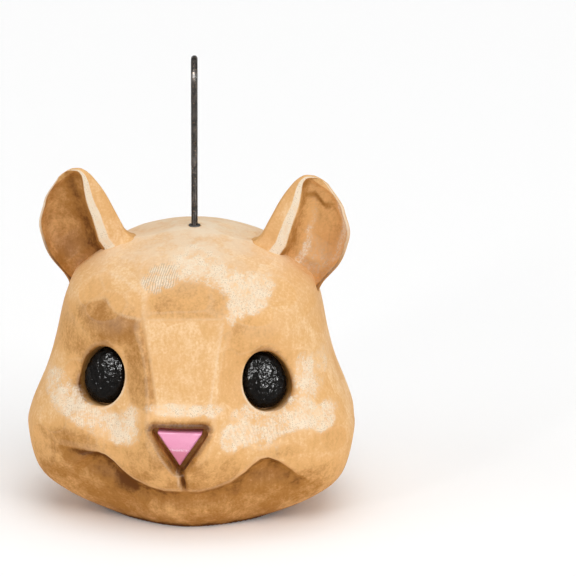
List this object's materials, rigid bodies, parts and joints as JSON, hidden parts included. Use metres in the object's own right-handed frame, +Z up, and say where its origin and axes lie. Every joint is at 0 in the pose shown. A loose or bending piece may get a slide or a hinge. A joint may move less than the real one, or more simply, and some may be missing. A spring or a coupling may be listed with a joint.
{
  "type": "hanging animal-head feeder",
  "caption": "Hollow hanging feeder shaped like a carved squirrel's head, with an open back, a loose food cup and a swivelling rod with a hanging eye.",
  "frame": {"origin": "under the hanging rod, on the flat that the head stands on", "axes": "+Z up along the rod, -Y the way the face looks, +X toward the head's left ear as the viewer sees it on the right"},
  "size_m": [0.149, 0.1237, 0.2113],
  "materials": {
    "head_shell": "satin antique wash over carved planes",
    "eye": "hammered gloss black",
    "nose": "satin pink paint",
    "washer_plastic": "natural moulded plastic",
    "bush": "matt black",
    "rod": "dark bronze lacquer",
    "zinc": "zinc plated",
    "cup": "moulded brown"
  },
  "bodies": {
    "head": {"front_shell": "head_shell", "rear_cover": "head_shell", "left_ear": "head_shell", "right_ear": "head_shell", "left_eye": "eye", "right_eye": "eye", "nose": "nose", "shank_washers": "washer_plastic", "crown_bush": "bush", "cup_ring": "head_shell"},
    "hanger": {"hanging_rod": "rod", "load_washer": "zinc", "rod_nut": "zinc"},
    "cup": {"food_cup": "cup"}
  },
  "joints": [
    {"name": "rod_swivel", "type": "hinge", "parent": "head", "child": "hanger", "pos_m": [0, 0, 0.13], "axis": [0, 0, 1], "continuous": true},
    {"name": "cup_lift", "type": "slide", "parent": "head", "child": "cup", "axis": [0, 0, 1], "range_m": [0, 0.03]}
  ]
}
